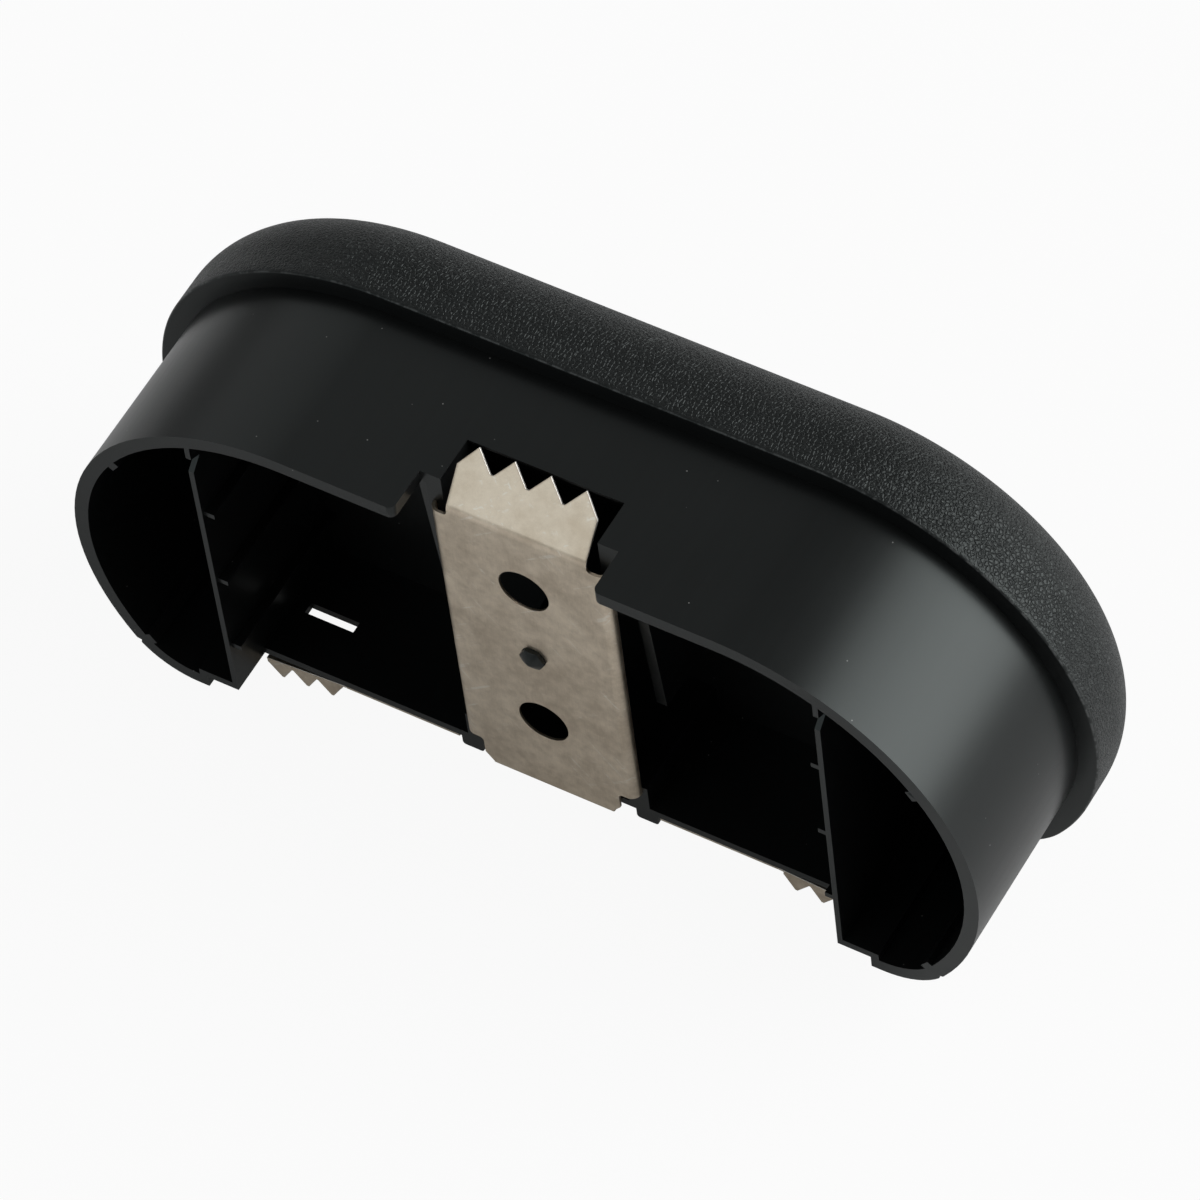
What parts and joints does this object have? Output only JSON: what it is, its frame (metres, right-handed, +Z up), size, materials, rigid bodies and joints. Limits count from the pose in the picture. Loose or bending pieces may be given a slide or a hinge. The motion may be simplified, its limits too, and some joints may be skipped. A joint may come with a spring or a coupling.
{
  "type": "clip-in trim housing",
  "caption": "Oval push-in housing, open at the back, with a domed trim cap at the front and toothed sheet-steel spring clips that grip the edge of a panel opening.",
  "frame": {"origin": "centre of the bounding box's base, at the cap's bottom edge", "axes": "+X along the length, to the right as seen from the front; -Y the cap's front face, +Y the open back; +Z up, towards the wall with the notch"},
  "size_m": [0.1618, 0.0498, 0.0775],
  "materials": {
    "cap_skin": "soft leather grain, satin",
    "housing_plastic": "satin moulded, lightly ribbed",
    "clip_steel": "mottled mill finish",
    "leaf_steel": "mottled mill finish"
  },
  "bodies": {
    "housing_body": {"housing": "housing_plastic", "trim_cap": "cap_skin", "cross_clip": "clip_steel", "leaf_clip": "leaf_steel"},
    "top_arm": {"top_barb_arm": "clip_steel"},
    "left_tab": {"left_barb_tab": "leaf_steel"},
    "right_tab": {"right_barb_tab": "leaf_steel"}
  },
  "joints": [
    {"name": "top_arm_flex", "type": "hinge", "parent": "housing_body", "child": "top_arm", "pos_m": [0, 0.0186, 0.06917], "axis": [1, 0, 0], "range_deg": [0, 18], "stiffness_Nm_per_rad": 4},
    {"name": "left_tab_flex", "type": "hinge", "parent": "housing_body", "child": "left_tab", "pos_m": [-0.038, 0.01405, 0.00555], "axis": [0, 1, 0], "range_deg": [0, 4], "stiffness_Nm_per_rad": 1.4},
    {"name": "right_tab_flex", "type": "hinge", "parent": "housing_body", "child": "right_tab", "pos_m": [0.038, 0.01405, 0.00555], "axis": [0, -1, 0], "range_deg": [0, 4], "stiffness_Nm_per_rad": 1.4}
  ]
}
